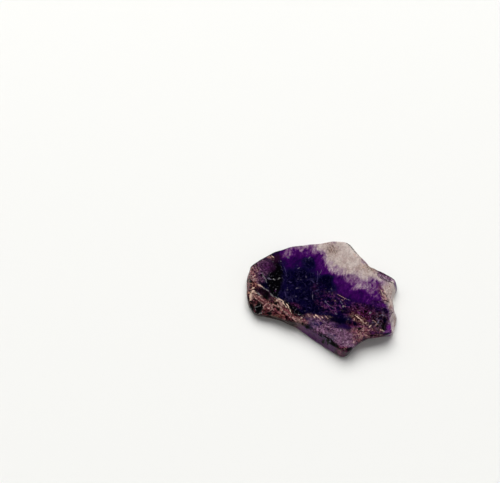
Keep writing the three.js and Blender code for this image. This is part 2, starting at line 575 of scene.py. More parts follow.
# Noises on the stone, in mm: those that move a point about, the ways that it is combed, in degrees and
# by how much, and those that shade it
bends = {
    "wave": {"size": 4.5, "reach": 0.7, "drift": 51.0},
    "curl": {"size": 1.1, "reach": 0.25, "drift": 52.0},
    "dust": {"size": 1.2, "reach": 0.4, "drift": 5.0},
    "net": {"size": 1.6, "reach": 0.7, "drift": 7.0},
    "dots": {"size": 0.9, "reach": 0.2, "drift": 7.5},
    "marks": {"size": 0.9, "reach": 0.24, "drift": 54.0},
}
combs = {
    "rising": {"turn": 84, "stretch": 3.6},
    "leaning": {"turn": 52, "stretch": 2.6},
    "fan": {"turn": 78, "stretch": 2.6},
    "wisps": {"turn": 60, "stretch": 2.0},
}
noises = {
    "rising": {"size": 0.8, "roughness": 0.6, "drift": 11.0},
    "leaning": {"size": 1.0, "roughness": 0.6, "drift": 12.0},
    "soft": {"size": 2.6, "drift": 13.0},
    "fan": {"size": 1.2, "detail": 4.0, "roughness": 0.6, "drift": 50.0},
    "blots": {"size": 1.5, "detail": 4.0, "roughness": 0.6, "drift": 53.0},
    "dust": {"size": 0.9, "detail": 2.0, "drift": 6.0},
    "crumble": {"size": 0.5, "detail": 2.0, "drift": 55.0},
    "glitter": {"size": 0.75, "detail": 2.0, "roughness": 0.6, "drift": 57.0},
    "smear": {"size": 0.9, "drift": 61.0},
    "fine": {"size": 0.45, "detail": 4.0, "roughness": 0.6, "drift": 62.0},
}
# How deep the purple is, from 0 in the clear quartz to 1 in the darkest crystal
crystal = {
    "steps": [
        (0.0, "snow"), (0.08, "milk"), (0.17, "smoke"), (0.27, "mist"), (0.37, "lavender"),
        (0.47, "orchid"), (0.57, "magenta"), (0.66, "violet"), (0.75, "plum"), (0.84, "indigo"),
        (0.92, "midnight"), (1.0, "night"),
    ],
    "start": 0.93,
    "clear": (0.62, 0.10),
    "dark": (0.72, 0.84),
    "thinnest": 0.40,  # the depth that feathers stir the most, and how far from it they still do
    "thinSpan": (0.34, 0.05),
    "feathered": 0.45,
    "leastFeathered": 0.20,
    "softened": 0.28,
}
# Where it changes: middle in mm, reach along and across, turn in degrees, softness of the border, depth
depths = [
    (7.0, 13.0, 12.0, 10.0, -24, 0.3, 0.62), (17.0, 1.0, 13.0, 8.4, -14, 0.3, 0.64),
    (-9.0, 17.0, 10.5, 7.6, -4, 0.35, 0.76), (-15.6, 6.0, 1.9, 6.5, -4, 0.7, 0.86),
    (-3.0, -1.6, 6.2, 8.6, 14, 0.4, 0.97), (-9.6, 7.4, 5.2, 3.4, 0, 0.6, 0.97),
    (-5.0, 13.8, 2.4, 3.0, 10, 0.5, 0.95), (2.2, 5.0, 4.4, 3.4, -6, 0.5, 0.98),
    (-9.4, 18.6, 6.8, 2.2, -3, 0.6, 0.67), (-6.2, 18.0, 2.6, 1.3, 8, 0.7, 0.57),
    (-13.2, 13.6, 2.4, 2.0, 10, 0.7, 0.7), (-14.0, 18.2, 2.8, 2.2, 30, 0.6, 0.47),
    (-8.1, 19.6, 0.9, 0.8, 0, 0.6, 0.36), (-5.2, 21.6, 8.6, 1.6, 2, 0.6, 0.37),
    (-2.6, 19.4, 1.8, 2.2, 10, 0.6, 0.43), (-0.6, 15.0, 2.0, 3.2, 8, 0.5, 0.63),
    (1.0, 12.0, 1.7, 2.4, 14, 0.6, 0.61), (1.8, 9.8, 2.6, 1.3, -10, 0.6, 0.66),
    (7.4, 5.2, 3.4, 3.2, 0, 0.5, 0.64), (13.4, -1.8, 8.4, 4.0, -12, 0.45, 0.66),
    (12.4, -4.2, 4.6, 1.7, -14, 0.7, 0.76), (20.4, -3.0, 3.6, 2.2, -10, 0.6, 0.55),
    (16.4, 4.6, 6.4, 3.2, -8, 0.5, 0.43), (14.8, 3.4, 2.8, 1.6, 20, 0.9, 0.33),
    (17.2, 6.8, 3.2, 1.5, -6, 0.8, 0.27), (18.8, 1.2, 2.2, 1.5, 0, 0.8, 0.48),
    (20.8, 3.6, 1.5, 2.4, 0, 0.7, 0.46), (11.6, 6.2, 2.0, 1.6, 0, 0.8, 0.4),
    (3.0, 13.0, 1.3, 4.0, 12, 0.7, 0.34), (6.4, 9.5, 3.4, 1.5, -8, 0.7, 0.31),
    (9.6, 18.2, 8.2, 7.6, -30, 0.34, 0.13), (15.6, 11.2, 8.8, 3.4, -14, 0.45, 0.16),
    (3.2, 22.0, 5.6, 3.2, 4, 0.5, 0.18), (12.0, 9.8, 4.6, 1.2, -10, 0.9, 0.22),
    (13.0, 20.0, 2.6, 3.6, 30, 0.9, 0.07), (12.6, 13.6, 2.2, 1.6, -20, 0.9, 0.09),
    (24.6, 7.2, 4.4, 3.0, -36, 0.4, 0.2), (27.0, -1.0, 3.4, 8.0, 0, 0.35, 0.1),
    (25.0, 4.4, 1.4, 1.1, -20, 0.8, 0.38), (23.5, 1.2, 0.9, 1.1, 20, 0.6, 0.55),
    (26.4, -11.8, 2.2, 6.4, -10, 0.2, 0.23), (24.5, -11.6, 0.7, 2.0, -16, 0.7, 0.42),
    (24.2, -15.0, 0.7, 1.4, -10, 0.6, 0.5), (23.6, -16.8, 1.7, 0.7, 20, 0.5, 0.45),
]
inclusions = {
    "dust": {"shown": (0.56, 0.72), "cover": 0.34},
    "net": {"laid": {"size": 2.6, "drift": 8.0}, "line": (0.06, 0.01), "shown": (0.4, 0.7), "cover": 0.40},
    "dots": {"laid": {"size": 1.1, "share": 0.09, "drift": 9.0}, "cover": 0.5},
    "wisps": {"laid": {"size": 2.4, "width": 0.05, "drift": 9.0, "share": 0.6}, "cover": 0.30},
}

# Each paint is a noise run through tones. Its flow gives the noise's size, the turn and stretch of its
# fibres, how far they bend, and the noise's drift. Over it come packed grains, some of them dark, with
# lines along the seams of the rest: dark tone, line tone, size, line width, share, cover. Then come
# strands: tone, size, width, share, cover. Then specks: tone, size, share, cover. Its finish is how clear
# it is, how rough, and how far its grain stands out.
paints = {
    "tan": {
        "flow": (0.9, 62, 2.8, 0.3, 21),
        "steps": [(0.38, "umber"), (0.47, "clay"), (0.53, "umber"), (0.6, "clay"), (0.68, "smoke")],
        "finish": (0.75, 0.12, 0.5),
    },
    "clay": {
        "flow": (1.2, 82, 1.9, 0.5, 22),
        "steps": [(0.36, "rose"), (0.42, "clay"), (0.5, "smoke"), (0.56, "clay"), (0.66, "smoke")],
        "strands": [("lilac", 1.4, 0.05, 0.5, 0.6)],
        "finish": (0.8, 0.13, 0.4),
    },
    "haze": {
        "flow": (2.2, 70, 1.6, 0.8, 24),
        "steps": [(0.42, "clay"), (0.58, "smoke")],
        "finish": (0.95, 0.1, 0.3),
    },
    "mottle": {
        "flow": (1.0, -20, 1.2, 0.7, 37),
        "steps": [
            (0.42, "night"), (0.47, "plum"), (0.51, "midnight"), (0.55, "wine"), (0.6, "grape"),
            (0.64, "plum"), (0.71, "mauve"),
        ],
        "packed": ("night", "orchid", 1.6, 0.09, 0.4, 0.6),
        "strands": [("heather", 1.6, 0.045, 0.35, 0.9), ("blush", 1.2, 0.035, 0.1, 0.9)],
        "specks": [("blush", 1.3, 0.05, 0.8)],
        "finish": (0.05, 0.1, 0.8),
    },
    "garnet": {
        "flow": (1.0, -20, 1.3, 0.7, 47),
        "steps": [
            (0.4, "night"), (0.45, "wine"), (0.49, "maroon"), (0.52, "soot"), (0.56, "maroon"),
            (0.6, "wine"), (0.66, "mauve"),
        ],
        "packed": ("soot", "heather", 1.3, 0.11, 0.4, 0.8),
        "strands": [("heather", 1.3, 0.05, 0.6, 0.9), ("blush", 1.2, 0.035, 0.15, 1.0)],
        "specks": [("lilac", 1.3, 0.07, 0.9)],
        "finish": (0.05, 0.11, 0.8),
    },
    "peat": {
        "flow": (1.0, 60, 1.4, 0.7, 46),
        "steps": [
            (0.4, "soot"), (0.45, "wine"), (0.49, "soot"), (0.53, "maroon"), (0.56, "soot"),
            (0.61, "mauve"), (0.68, "haze"),
        ],
        "packed": ("soot", "haze", 1.3, 0.11, 0.5, 0.8),
        "strands": [("mauve", 1.3, 0.05, 0.6, 0.9), ("clay", 1.2, 0.035, 0.15, 0.9)],
        "specks": [("night", 1.3, 0.12, 0.9)],
        "finish": (0.05, 0.12, 0.9),
    },
    "crumb": {
        "flow": (1.0, -34, 1.3, 0.7, 45),
        "steps": [
            (0.39, "soot"), (0.44, "maroon"), (0.475, "gold"), (0.5, "maroon"), (0.53, "rust"),
            (0.555, "soot"), (0.6, "rose"), (0.66, "cream"),
        ],
        "packed": ("maroon", "gold", 1.1, 0.13, 0.45, 0.8),
        "strands": [("cream", 1.2, 0.045, 0.35, 1.0)],
        "specks": [("soot", 1.2, 0.14, 0.9)],
        "finish": (0.15, 0.12, 0.9),
    },
    "fibres": {
        "flow": (1.1, -34, 2.0, 0.8, 42),
        "steps": [
            (0.37, "plum"), (0.42, "mauve"), (0.46, "lilac"), (0.49, "mauve"), (0.53, "grape"),
            (0.57, "mauve"), (0.62, "lilac"),
        ],
        "packed": ("wine", "lilac", 1.0, 0.14, 0.3, 0.6),
        "strands": [("lilac", 1.4, 0.045, 0.7, 0.9), ("mist", 1.2, 0.035, 0.15, 0.9)],
        "finish": (0.2, 0.12, 0.8),
    },
    "lint": {
        "flow": (1.0, 40, 1.5, 0.8, 43),
        "steps": [
            (0.38, "grape"), (0.43, "lilac"), (0.47, "mauve"), (0.52, "lilac"), (0.56, "mauve"),
            (0.62, "lilac"), (0.68, "mist"),
        ],
        "packed": ("mauve", "lilac", 0.9, 0.16, 0.4, 0.6),
        "strands": [("mist", 1.2, 0.04, 0.35, 0.9)],
        "specks": [("wine", 1.2, 0.12, 0.8)],
        "finish": (0.3, 0.12, 0.8),
    },
    "blush": {
        "flow": (1.0, 14, 1.5, 0.8, 48),
        "steps": [
            (0.38, "wine"), (0.43, "mauve"), (0.47, "rose"), (0.5, "maroon"), (0.54, "mauve"),
            (0.58, "rose"), (0.62, "wine"), (0.68, "blush"),
        ],
        "packed": ("wine", "rose", 1.1, 0.13, 0.35, 0.8),
        "strands": [("blush", 1.3, 0.05, 0.65, 0.9), ("cream", 1.2, 0.035, 0.2, 1.0)],
        "specks": [("soot", 1.2, 0.1, 0.8)],
        "finish": (0.2, 0.13, 0.9),
    },
    "mauve": {
        "flow": (0.9, 40, 1.2, 0.6, 27),
        "steps": [
            (0.39, "night"), (0.44, "grape"), (0.48, "lilac"), (0.51, "wine"), (0.54, "mauve"),
            (0.58, "grape"), (0.64, "lilac"),
        ],
        "packed": ("wine", "lilac", 1.1, 0.12, 0.4, 0.5),
        "specks": [("clay", 0.9, 0.25, 0.6)],
        "finish": (0.1, 0.13, 0.9),
    },
    "sugar": {
        "flow": (0.8, 80, 1.5, 0.5, 29),
        "steps": [(0.36, "maroon"), (0.43, "mauve"), (0.49, "rose"), (0.56, "blush"), (0.66, "clay")],
        "packed": ("mauve", "blush", 0.9, 0.16, 0.4, 0.5),
        "strands": [("maroon", 1.5, 0.05, 0.5, 0.7)],
        "specks": [("smoke", 0.9, 0.16, 0.5)],
        "finish": (0.15, 0.16, 1.0),
    },
    "mussel": {
        "flow": (0.9, 75, 2.8, 0.2, 50),
        "steps": [
            (0.39, "wine"), (0.44, "lilac"), (0.49, "mauve"), (0.53, "grape"), (0.58, "lilac"),
            (0.64, "mist"),
        ],
        "finish": (0.1, 0.2, 0.5),
    },
    "soot": {
        "flow": (0.8, 0, 1, 0.3, 23),
        "steps": [(0.58, "soot"), (0.64, "ash"), (0.72, "haze")],
        "specks": [("sugar", 0.8, 0.12, 0.6), ("grape", 1.3, 0.1, 0.7)],
        "finish": (0.0, 0.12, 0.8),
    },
    "breccia": {
        "flow": (1.5, -40, 2.6, 0.9, 31),
        "steps": [
            (0.41, "soot"), (0.45, "maroon"), (0.475, "rose"), (0.5, "maroon"), (0.535, "soot"),
            (0.565, "maroon"), (0.59, "rose"), (0.615, "char"), (0.65, "blush"), (0.7, "maroon"),
        ],
        "packed": ("soot", "rose", 1.5, 0.11, 0.4, 0.8),
        "strands": [
            ("soot", 1.5, 0.06, 0.5, 0.9), ("peach", 1.6, 0.05, 0.4, 1.0), ("cream", 1.3, 0.04, 0.2, 1.0),
        ],
        "specks": [("soot", 1.3, 0.12, 0.9)],
        "finish": (0.05, 0.15, 1.0),
    },
    "slate": {
        "flow": (1.0, 75, 2.6, 0.3, 49),
        "steps": [(0.36, "night"), (0.43, "slate"), (0.5, "grape"), (0.56, "slate"), (0.64, "mauve")],
        "finish": (0.2, 0.22, 0.4),
    },
    "ruby": {
        "flow": (0.9, 30, 1.4, 0.6, 54),
        "steps": [
            (0.42, "soot"), (0.47, "maroon"), (0.52, "ruby"), (0.56, "wine"), (0.62, "ruby"),
            (0.7, "blush"),
        ],
        "strands": [("blush", 1.2, 0.04, 0.3, 0.9)],
        "finish": (0.1, 0.2, 0.8),
    },
    "husk": {
        "flow": (0.8, 0, 1.2, 0.4, 52),
        "steps": [(0.4, "maroon"), (0.46, "umber"), (0.51, "mauve"), (0.56, "umber"), (0.64, "rose")],
        "strands": [("clay", 1.3, 0.05, 0.5, 0.7)],
        "finish": (0.1, 0.24, 0.8),
    },
    # Partly the stone's own dark brown, partly painted shade of the undercut wall under the breccia
    "bark": {
        "flow": (1.0, -14, 1.8, 0.6, 33),
        "steps": [
            (0.42, "soot"), (0.48, "char"), (0.53, "soot"), (0.58, "rust"), (0.64, "char"), (0.72, "umber"),
        ],
        "strands": [("umber", 1.3, 0.05, 0.4, 0.7)],
        "finish": (0.0, 0.2, 1.0),
    },
}
paintLook = {
    "bend": 1.8,  # the size of the bends, in the paint's own size
    "bendDetail": 2.0,
    "detail": 2.5,
    "seam": 0.03,
    "core": 0.20,
    "darkEase": 0.1,
    "litSeam": (0.47, 0.60),
}
layerDrift = {"field": 0.5, "packed": 2.3, "strands": 3.1, "specks": 5.7}
# Where each paint lies: middle in mm, reach along and across, turn in degrees, softness of the border,
# cover
zones = {
    "tan": [
        (4.4, 20.4, 2.6, 3.2, 16, 0.8, 0.7), (2.4, 23.2, 1.6, 0.7, 20, 0.5, 0.7),
        (20.4, 11.0, 2.2, 1.1, -24, 0.7, 0.9),
    ],
    "haze": [(12.4, 13.8, 7.0, 5.4, -30, 0.8, 0.4), (17.6, 10.4, 5.0, 2.4, -20, 0.7, 0.75)],
    "clay": [(26.0, -1.4, 2.0, 6.6, 2, 0.5, 0.8), (28.2, -9.0, 1.0, 6.0, -8, 0.6, 0.6)],
    "blush": [
        (23.6, -0.6, 1.3, 3.8, 14, 0.6, 0.8), (15.6, -17.2, 6.2, 2.5, -4, 0.4, 0.95),
        (12.0, -19.6, 2.4, 2.0, 20, 0.5, 0.8), (-9.4, -11.8, 2.8, 1.2, -36, 0.4, 0.9),
        (-20.8, 16.4, 1.5, 0.8, -30, 0.5, 0.9),
    ],
    "mottle": [
        (4.2, -5.3, 6.8, 4.5, -18, 0.4, 0.9), (-1.6, 1.6, 2.2, 2.6, 0, 0.6, 0.4),
        (21.4, -5.4, 3.4, 2.0, -12, 0.4, 0.75), (16.0, -8.0, 9.6, 3.2, -8, 0.25, 1.0),
    ],
    "garnet": [
        (15.4, -9.8, 5.8, 3.4, -14, 0.5, 1.0), (13.0, -14.4, 4.8, 1.8, -12, 0.4, 1.0),
        (-11.4, -5.8, 2.0, 0.9, -30, 0.6, 0.8),
    ],
    "peat": [(21.4, -12.4, 3.6, 4.0, -8, 0.35, 1.0)],
    "crumb": [(12.8, -11.2, 4.4, 1.3, -34, 0.5, 1.0), (-3.0, -10.6, 5.4, 1.0, -8, 0.5, 0.85)],
    "fibres": [(1.6, -16.8, 9.8, 4.3, -34, 0.25, 1.0)],
    "lint": [(7.4, -20.8, 5.6, 3.4, 24, 0.4, 1.0)],
    "soot": [
        (-12.9, -7.0, 4.0, 1.2, -54, 0.5, 0.95), (-10.4, -9.0, 2.2, 0.9, -20, 0.5, 0.95),
        (-7.2, -14.2, 1.4, 0.7, -30, 0.5, 0.95), (1.2, -20.8, 4.8, 0.9, -39, 0.4, 1.0),
        (-19.2, 6.4, 2.9, 9.8, -4, 0.3, 1.0),
    ],
    "ruby": [(5.8, -24.0, 2.6, 1.1, -10, 0.4, 1.0)],
    "mauve": [(-25.0, 11.6, 4.8, 4.4, 30, 0.4, 1.0), (-25.4, 6.8, 2.6, 3.0, 20, 0.4, 1.0)],
    "sugar": [(-28.9, 6.4, 2.3, 7.0, 5, 0.4, 1.0), (-27.4, 10.6, 1.6, 2.4, -20, 0.7, 0.6)],
    "mussel": [(25.8, 8.0, 4.1, 2.5, -39, 0.15, 1.0)],
}
# What the broken wall shows, all the way down it; under the breccia, partly painted shade of the undercut
wallZones = {
    "slate": (-1.6, -18.9, 14.0, 4.0, -38, 0.15, 1.0),
    "ruby": (6.6, -24.8, 3.4, 2.0, 10, 0.3, 1.0),
    "bark": (-20.4, -9.6, 10.5, 3.4, -15, 0.2, 1.0),
    "husk": (-31.0, 3.0, 2.6, 9.0, 0, 0.2, 0.9),
}
# Single crystals of one tone, over the paints, one of them partly painted shade: the tone, and then as
# above
lenses = [
    ("plum", 5.4, -14.3, 4.4, 1.0, -12, 0.8, 0.8), ("night", 4.6, -12.0, 4.8, 1.3, -10, 0.6, 0.95),
    ("night", 9.6, -12.9, 1.0, 0.8, 0, 0.5, 0.9), ("dust", -4.8, -13.4, 2.4, 1.6, -30, 0.9, 0.6),
    ("haze", 1.6, -18.4, 2.4, 0.8, -20, 0.9, 0.4), ("grape", -22.4, 12.2, 2.6, 2.4, -40, 0.8, 0.95),
    ("wine", -18.4, 16.4, 1.8, 2.0, 0, 0.7, 0.85), ("night", -24.0, 4.2, 2.2, 0.9, -42, 0.5, 0.95),
    ("grape", 18.2, -17.4, 1.9, 0.8, 6, 0.6, 0.95), ("wine", 6.6, -24.6, 1.0, 0.5, -8, 0.8, 0.7),
    ("night", 8.7, -24.0, 1.2, 0.6, 30, 0.5, 0.95), ("magenta", 22.8, -5.4, 1.5, 0.8, -10, 0.7, 0.85),
    ("vivid", 24.3, -14.9, 0.5, 1.3, -16, 0.9, 0.75), ("soot", 18.0, -18.6, 1.8, 0.4, 6, 0.4, 0.95),
    ("soot", 22.1, -14.4, 0.8, 1.5, -12, 0.6, 0.7), ("night", 21.4, -11.2, 1.4, 0.6, 0, 0.6, 0.9),
    ("night", 23.3, -12.2, 0.8, 1.0, 0, 0.6, 0.9), ("night", 23.6, -8.6, 1.1, 0.6, 10, 0.6, 0.9),
    ("night", 18.0, -7.4, 0.8, 0.9, 0, 0.6, 0.85), ("night", 19.9, -8.2, 0.7, 0.6, 0, 0.6, 0.85),
    ("night", 7.8, -7.8, 1.6, 1.0, 0, 0.7, 0.8), ("rose", -24.6, -2.6, 2.8, 0.9, -35, 0.7, 0.85),
    ("rose", -21.8, -5.5, 1.6, 1.1, 0, 0.9, 0.5), ("rose", -14.6, -8.8, 2.4, 0.8, -38, 0.9, 0.55),
    ("blush", -10.6, -11.8, 2.0, 0.7, -38, 0.8, 0.55), ("wine", -23.6, 0.2, 4.0, 1.5, -42, 0.5, 0.95),
    ("soot", -23.2, 0.0, 3.2, 0.8, -42, 0.7, 0.8), ("soot", -23.0, -1.6, 1.6, 0.7, -45, 0.6, 0.9),
    ("wine", -20.6, -2.7, 1.3, 0.9, -50, 0.8, 0.85), ("maroon", -24.4, -2.0, 1.0, 0.5, -20, 0.7, 0.8),
    # The char crystal on the breccia's lower rim is partly painted shade of the undercut wall below it
    ("rust", -23.1, -6.7, 1.1, 0.6, 0, 0.6, 0.7), ("char", -19.8, -9.5, 3.8, 0.9, -12, 0.7, 0.85),
    ("soot", -28.6, -5.0, 0.9, 2.2, 18, 0.5, 0.85), ("soot", -19.2, -4.5, 0.9, 0.5, -30, 0.5, 0.9),
    ("maroon", -27.2, 3.5, 0.9, 1.0, 0, 0.8, 0.5), ("wine", -25.0, 6.9, 1.5, 1.8, -20, 0.9, 0.5),
]
# How far the borders of each kind of zone are torn, and how two noises add up to a tear from 0 to 1
raggedness = {"depth": 0.5, "paint": 1.1, "wall": 0.6, "lens": 0.9}
tearing = {"gain": 0.6, "shift": 0.1}
# Veins, scratches, specks and painted shade along the back rim: each line gives both ends and the half
# width, in mm
marks = {
    "soot": [
        (-2.6, -18.2, -1.6, -18.9, 0.34), (-1.8, -18.8, -0.2, -20.0, 0.5), (-0.3, -19.9, 1.5, -21.3, 0.66),
        (1.4, -21.0, 3.0, -22.3, 0.72), (2.8, -22.2, 4.4, -23.6, 0.54), (7.6, -24.0, 8.9, -24.1, 0.5),
        # The soot lines from here to the quartz shoulder are painted shade along the back rim and the top
        # of the right-hand chip
        (-28.7, 12.3, -26.0, 14.6, 0.26), (-26.0, 14.6, -22.8, 16.8, 0.28),
        (-22.8, 16.8, -19.8, 18.5, 0.28), (-19.8, 18.5, -16.5, 19.8, 0.26),
        (-16.5, 19.8, -12.6, 21.3, 0.22), (-12.4, 21.4, -7.0, 21.9, 0.12), (22.2, 10.7, 25.2, 9.9, 0.22),
        (25.2, 9.9, 27.8, 8.1, 0.22), (27.8, 8.1, 29.4, 6.1, 0.18), (11.2, 23.3, 12.2, 22.6, 0.36),
        (12.4, 22.1, 13.6, 20.2, 0.36), (13.6, 20.2, 14.8, 18.3, 0.26),
    ],
    "cream": [
        (-25.8, 3.7, -24.3, 2.7, 0.22), (-17.9, -2.7, -16.5, -3.5, 0.3), (-16.5, -3.6, -15.7, -5.2, 0.24),
        (-15.7, -5.0, -15.0, -6.4, 0.18), (-14.7, -5.2, -14.0, -6.6, 0.16), (-14.0, -6.4, -13.3, -8.4, 0.2),
        (-9.7, -11.5, -8.8, -10.9, 0.2), (-29.1, -1.8, -28.9, 0.4, 0.34), (-28.9, 0.5, -27.9, 1.3, 0.32),
        (-27.9, 1.2, -26.7, 0.3, 0.26), (-28.4, 2.2, -27.8, 2.6, 0.24), (-20.2, 17.1, -19.6, 16.4, 0.2),
        (-3.6, -9.8, -2.9, -10.4, 0.2), (-4.6, -10.3, -4.2, -10.7, 0.16), (-1.4, -10.6, -1.0, -11.0, 0.16),
        (12.0, -10.2, 12.9, -10.9, 0.14), (12.9, -11.0, 14.2, -12.4, 0.13),
        (16.8, -14.9, 17.6, -14.2, 0.14), (24.2, 1.4, 24.9, -0.4, 0.14), (22.8, 1.0, 23.5, -1.2, 0.12),
        (23.9, -0.6, 24.5, -2.4, 0.12), (22.9, -2.2, 23.8, -3.3, 0.12), (20.9, -15.9, 21.9, -16.6, 0.18),
        (15.4, 12.4, 17.8, 11.3, 0.13), (16.2, 13.6, 17.2, 12.2, 0.12), (13.4, 18.2, 14.2, 17.0, 0.16),
    ],
    "blush": [
        (-18.6, -3.1, -17.0, -4.4, 0.24), (-23.6, -4.9, -22.2, -4.2, 0.18),
        (-22.2, -4.3, -20.8, -4.6, 0.18), (-20.9, -4.8, -20.3, -6.6, 0.22),
        (-20.6, -6.6, -21.4, -7.3, 0.16), (-23.8, -5.0, -24.0, -6.2, 0.16),
        (-22.7, -5.4, -22.0, -6.2, 0.14), (-22.2, -6.2, -21.2, -5.9, 0.13),
        (-20.2, -5.0, -17.4, -6.2, 0.15), (-17.4, -6.2, -15.8, -8.0, 0.2), (-16.2, -7.6, -13.4, -10.2, 0.3),
        (-13.4, -10.0, -11.2, -12.0, 0.28), (-17.9, -3.8, -16.6, -5.6, 0.3),
        (-28.4, -1.8, -28.2, -0.6, 0.34), (-27.9, -0.4, -27.3, 0.3, 0.4), (-27.4, -0.8, -26.3, -2.4, 0.18),
        (-26.3, -2.4, -24.4, -3.8, 0.18), (-26.4, -0.9, -23.4, -3.2, 0.2), (-2.2, -11.0, -1.6, -12.2, 0.18),
        (0.1, -10.2, 0.9, -11.2, 0.18), (18.4, -12.0, 19.4, -12.8, 0.15), (19.6, -13.4, 20.6, -14.0, 0.15),
        (19.0, -14.4, 19.8, -13.6, 0.13), (6.0, -1.0, 8.4, -2.6, 0.12),
    ],
    "sugar": [
        (-24.1, 2.4, -23.5, 2.0, 0.2), (-23.1, 1.8, -22.6, 1.3, 0.22), (-22.3, 1.2, -21.9, 0.8, 0.18),
        (-21.2, -0.4, -20.6, -1.0, 0.2), (-20.3, -1.3, -19.9, -1.7, 0.16), (-19.2, -1.9, -18.6, -2.2, 0.18),
        (-18.4, -2.4, -18.1, -2.6, 0.18), (-24.4, 9.1, -23.4, 6.9, 0.14), (-23.4, 7.1, -22.6, 4.9, 0.13),
        (-25.6, -8.1, -24.3, -7.7, 0.18), (-27.7, -3.4, -27.1, -6.0, 0.13), (-26.9, -5.2, -25.3, -4.8, 0.1),
        (-25.2, -4.8, -25.0, -4.2, 0.1), (-26.2, 0.3, -24.8, -1.0, 0.26), (-19.9, 6.2, -19.6, 6.1, 0.28),
        (-17.8, 6.3, -17.5, 6.6, 0.24), (-16.8, 14.6, -16.6, 14.6, 0.22), (-10.4, -9.4, -9.7, -9.6, 0.16),
        (-27.6, 6.2, -27.4, 6.2, 0.22), (7.3, -6.0, 7.5, -5.9, 0.26), (22.0, -16.9, 22.3, -16.8, 0.2),
        (17.4, -9.1, 17.9, -8.7, 0.24),
    ],
    "haze": [
        (0.4, -3.7, 0.6, -4.0, 0.24), (0.9, -4.6, 3.0, -6.4, 0.12), (4.0, -9.0, 4.4, -9.2, 0.24),
        (-5.2, 16.0, -4.6, 16.8, 0.16), (-13.8, 16.5, -13.5, 16.3, 0.28), (-9.7, 11.3, -9.1, 11.6, 0.18),
        (-2.0, 9.9, -1.8, 8.0, 0.1), (-1.2, 8.4, -0.2, 10.4, 0.1), (-10.8, 2.0, -10.0, 2.2, 0.16),
        (-4.4, -0.4, -4.5, -2.6, 0.12), (6.5, -3.9, 6.9, -4.7, 0.18), (9.4, -2.9, 9.9, -3.1, 0.2),
        (20.0, -13.2, 20.6, -12.6, 0.26), (21.0, -10.0, 22.4, -9.6, 0.16), (2.1, -19.8, 2.6, -20.1, 0.2),
        (1.2, -20.4, 1.5, -20.8, 0.16), (-1.4, -18.4, -0.8, -18.9, 0.24), (-0.4, -19.4, 0.0, -19.7, 0.16),
        (-21.6, 6.6, -21.1, 6.3, 0.34),
    ],
    "dust": [
        (-15.6, 12.4, -14.6, 9.4, 0.12), (-14.7, 9.4, -14.4, 7.4, 0.13), (-1.9, 8.4, -2.5, 4.4, 0.13),
        (-15.4, 0.6, -15.0, -1.6, 0.18), (-3.4, 0.8, -2.2, 1.4, 0.26), (-4.4, 5.6, -3.6, 4.6, 0.26),
        (-13.4, 5.0, -12.8, 4.8, 0.24), (-7.6, -2.4, -6.8, -2.8, 0.22), (-12.6, -2.6, -12.4, -3.8, 0.18),
        (-6.4, -6.4, -5.6, -6.6, 0.2),
    ],
    "wine": [
        (23.4, 8.2, 24.4, 7.0, 0.14), (24.3, 7.1, 25.7, 5.6, 0.2), (25.6, 5.7, 28.2, 4.3, 0.26),
        (23.2, 10.4, 26.4, 9.2, 0.24), (26.4, 9.2, 28.8, 7.0, 0.24), (23.6, -3.2, 24.9, -3.8, 0.22),
        (25.2, -10.3, 26.7, -8.2, 0.16), (-14.5, -9.1, -14.2, -9.4, 0.22),
        (-11.7, -11.4, -11.3, -11.6, 0.18),
    ],
    "umber": [
        (14.6, 18.7, 16.1, 16.3, 0.18), (16.1, 16.3, 17.7, 13.8, 0.2), (17.7, 13.8, 18.9, 12.1, 0.2),
        (18.4, 12.4, 18.8, 10.8, 0.16), (19.4, 11.6, 20.2, 10.2, 0.2), (20.2, 11.3, 22.2, 10.9, 0.26),
        (3.8, 21.6, 4.6, 19.4, 0.16), (4.8, 22.4, 5.6, 20.8, 0.14), (3.2, 20.4, 3.9, 18.9, 0.13),
        (5.4, 19.8, 5.9, 18.2, 0.13), (26.8, -14.8, 28.0, -9.4, 0.1), (-21.6, -9.0, -20.4, -9.4, 0.14),
        (-20.0, -9.3, -18.6, -9.8, 0.16), (-18.9, -8.9, -17.6, -9.6, 0.12),
    ],
}
markLook = {"outer": 1.5, "inner": 0.8, "crumble": 4.0, "onFace": 0.85, "lostOnWall": 0.7}
# The levelness at which a wall starts to show, and shows in full
wallSight = {"rough": (0.86, 0.40), "painted": (0.45, 0.25)}
hollowShade = 1.1


def drawPaint(tree, point, facts):
    look = paintLook
    size, turn, stretch, bend, start = facts["flow"]
    drift = {layer: start + more for layer, more in layerDrift.items()}
    bent = ragged(tree, point, look["bend"] * size, bend, start, detail=look["bendDetail"])
    laid = combed(tree, bent, turn, stretch)
    field = cloud(tree, laid, size, detail=look["detail"], drift=drift["field"])
    colour = graded(tree, field, facts["steps"])
    if "packed" in facts:
        darkTone, lineTone, size, width, share, cover = facts["packed"]
        seam, lucky = packed(tree, laid, size, drift["packed"])
        chosen = ramp(tree, lucky, 1 - share, 1 + look["darkEase"] - share)
        core = ramp(tree, seam, look["seam"], look["core"])
        colour = laidOver(tree, colour, darkTone, chosen, core, cover)
        line = ramp(tree, seam, width, look["seam"])
        colour = laidOver(tree, colour, lineTone, line, ramp(tree, field, *look["litSeam"]), cover)
    for number, (name, size, width, share, cover) in enumerate(facts.get("strands", [])):
        line = strands(tree, laid, size, width, drift["strands"] + number, share)
        colour = laidOver(tree, colour, name, line, cover)
    for number, (name, size, share, cover) in enumerate(facts.get("specks", [])):
        dots = specks(tree, bent, size, share, drift["specks"] + number)
        colour = laidOver(tree, colour, name, dots, cover)
    return colour


# The share of a zone at each place, with its border torn
def zoneShare(tree, plan, tear, kind, *place):
    *ellipse, fade = place
    far = raggedness[kind]
    out = outness(tree, plan, *ellipse)
    torn = calc(tree, "MULTIPLY_ADD", tear, far, calc(tree, "SUBTRACT", out, far / 2))
    return ramp(tree, torn, 1 + fade, 1 - fade)


